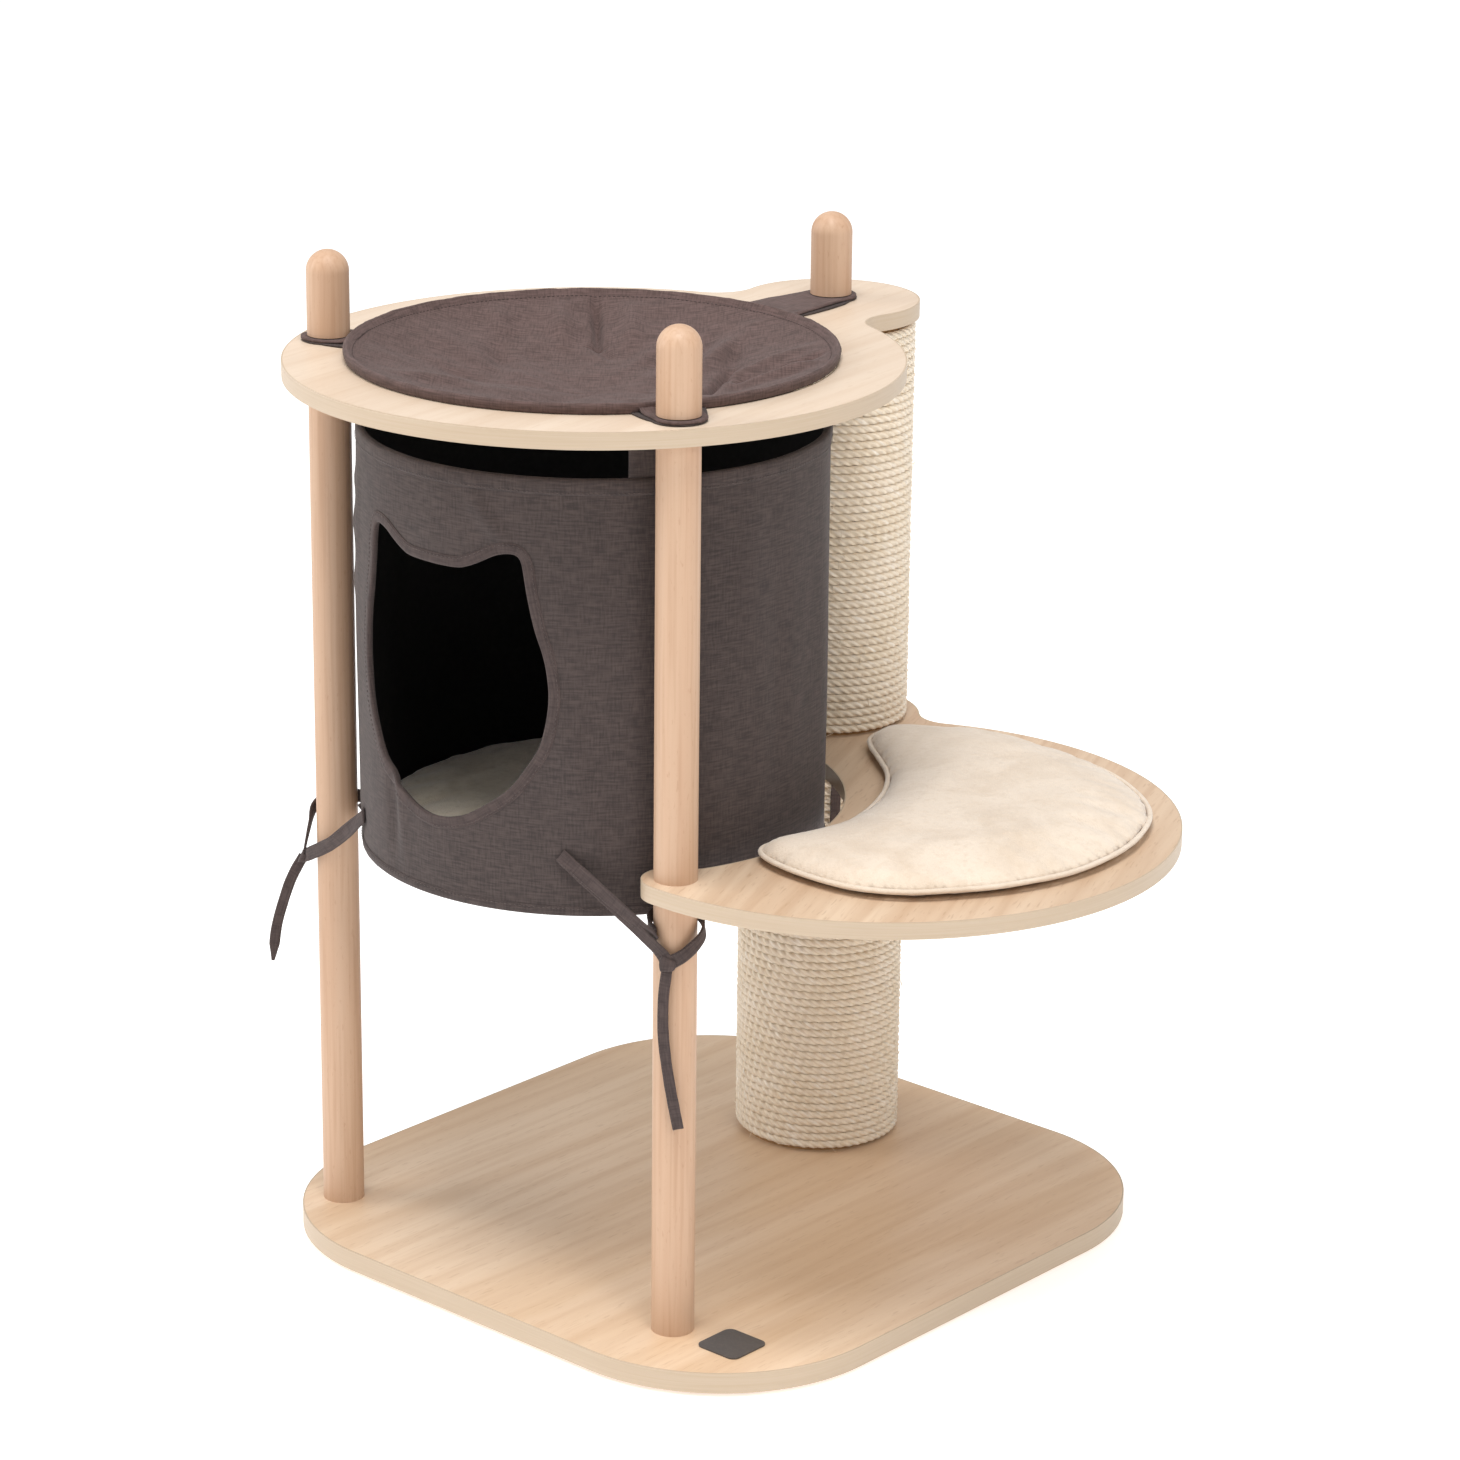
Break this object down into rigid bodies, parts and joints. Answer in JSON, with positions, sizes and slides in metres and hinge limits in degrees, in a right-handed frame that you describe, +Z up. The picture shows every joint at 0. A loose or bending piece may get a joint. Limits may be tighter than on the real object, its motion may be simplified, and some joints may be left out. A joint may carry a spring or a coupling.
{
  "type": "cat tree",
  "caption": "Low cat tree: round-cornered base, beech posts, sisal column, crescent shelf with cushion, fabric den with cat-head door under a ring plate with a sling hammock.",
  "frame": {"origin": "on the floor under the centre of the base board, at the underside of its middle foot pad", "axes": "+Z up, -Y is the side the den's door faces, +X is the side the shelf stands out on"},
  "size_m": [0.6129, 0.575, 0.7308],
  "materials": {
    "oak_laminate": "light oak melamine, satin",
    "pale_laminate": "pale maple melamine, satin",
    "edge_band": "cream edge band, satin",
    "beech": "sanded beech with clear matt lacquer",
    "sisal": "natural three-strand sisal rope",
    "den_fabric": "brown-grey linen-look polyester, woven",
    "lining_fabric": "black non-woven lining",
    "plush": "cream short-pile plush",
    "zinc_steel": "zinc-plated steel",
    "brass_insert": "turned insert nut",
    "cardboard": "spiral-wound board tube",
    "plug_board": "raw fibreboard",
    "felt": "dark pressed felt",
    "badge": "blank dark plate, satin"
  },
  "bodies": {
    "frame": {"base_board": "oak_laminate", "base_edge_band": "edge_band", "base_feet": "felt", "base_badge": "badge", "base_bolts": "zinc_steel", "base_washers": "zinc_steel", "left_post": "beech", "front_post_lower": "beech", "front_post_upper": "beech", "post_inserts": "brass_insert", "lower_column_tube": "cardboard", "upper_column_tube": "cardboard", "column_end_plugs": "plug_board", "column_tee_nuts": "zinc_steel", "lower_column_rope": "sisal", "upper_column_rope": "sisal", "shelf_studs": "zinc_steel", "top_studs": "zinc_steel", "middle_shelf": "oak_laminate", "shelf_edge_band": "edge_band", "top_plate": "pale_laminate", "top_plate_edge_band": "edge_band", "hammock": "den_fabric", "hammock_hoop": "zinc_steel", "den_shell": "den_fabric", "den_lining": "lining_fabric", "den_door_binding": "den_fabric", "den_floor": "cardboard", "den_top_hoop": "zinc_steel", "den_bottom_hoop": "zinc_steel", "den_hanger_left": "den_fabric", "den_hanger_front": "den_fabric", "den_hanger_rear": "den_fabric", "tie_left": "den_fabric", "tie_front": "den_fabric", "tie_rear": "den_fabric"},
    "left_knob": {"left_finial": "beech", "left_finial_insert": "brass_insert"},
    "front_knob": {"front_finial": "beech", "front_finial_insert": "brass_insert"},
    "rear_knob": {"rear_finial": "beech", "rear_finial_insert": "brass_insert"},
    "crescent_cushion": {"shelf_cushion": "plush"},
    "round_cushion": {"den_cushion": "plush"}
  },
  "joints": [
    {"name": "left_finial_unscrew", "type": "slide", "parent": "frame", "child": "left_knob", "axis": [0, 0, 1], "range_m": [0, 0.06]},
    {"name": "front_finial_unscrew", "type": "slide", "parent": "frame", "child": "front_knob", "axis": [0, 0, 1], "range_m": [0, 0.06]},
    {"name": "rear_finial_unscrew", "type": "slide", "parent": "frame", "child": "rear_knob", "axis": [0, 0, 1], "range_m": [0, 0.06]},
    {"name": "shelf_cushion_lift", "type": "slide", "parent": "frame", "child": "crescent_cushion", "axis": [0.75, 0.41, 0.519], "range_m": [0, 0.45]},
    {"name": "den_cushion_lift", "type": "slide", "parent": "frame", "child": "round_cushion", "axis": [0, 0, 1], "range_m": [0, 0.18]}
  ]
}
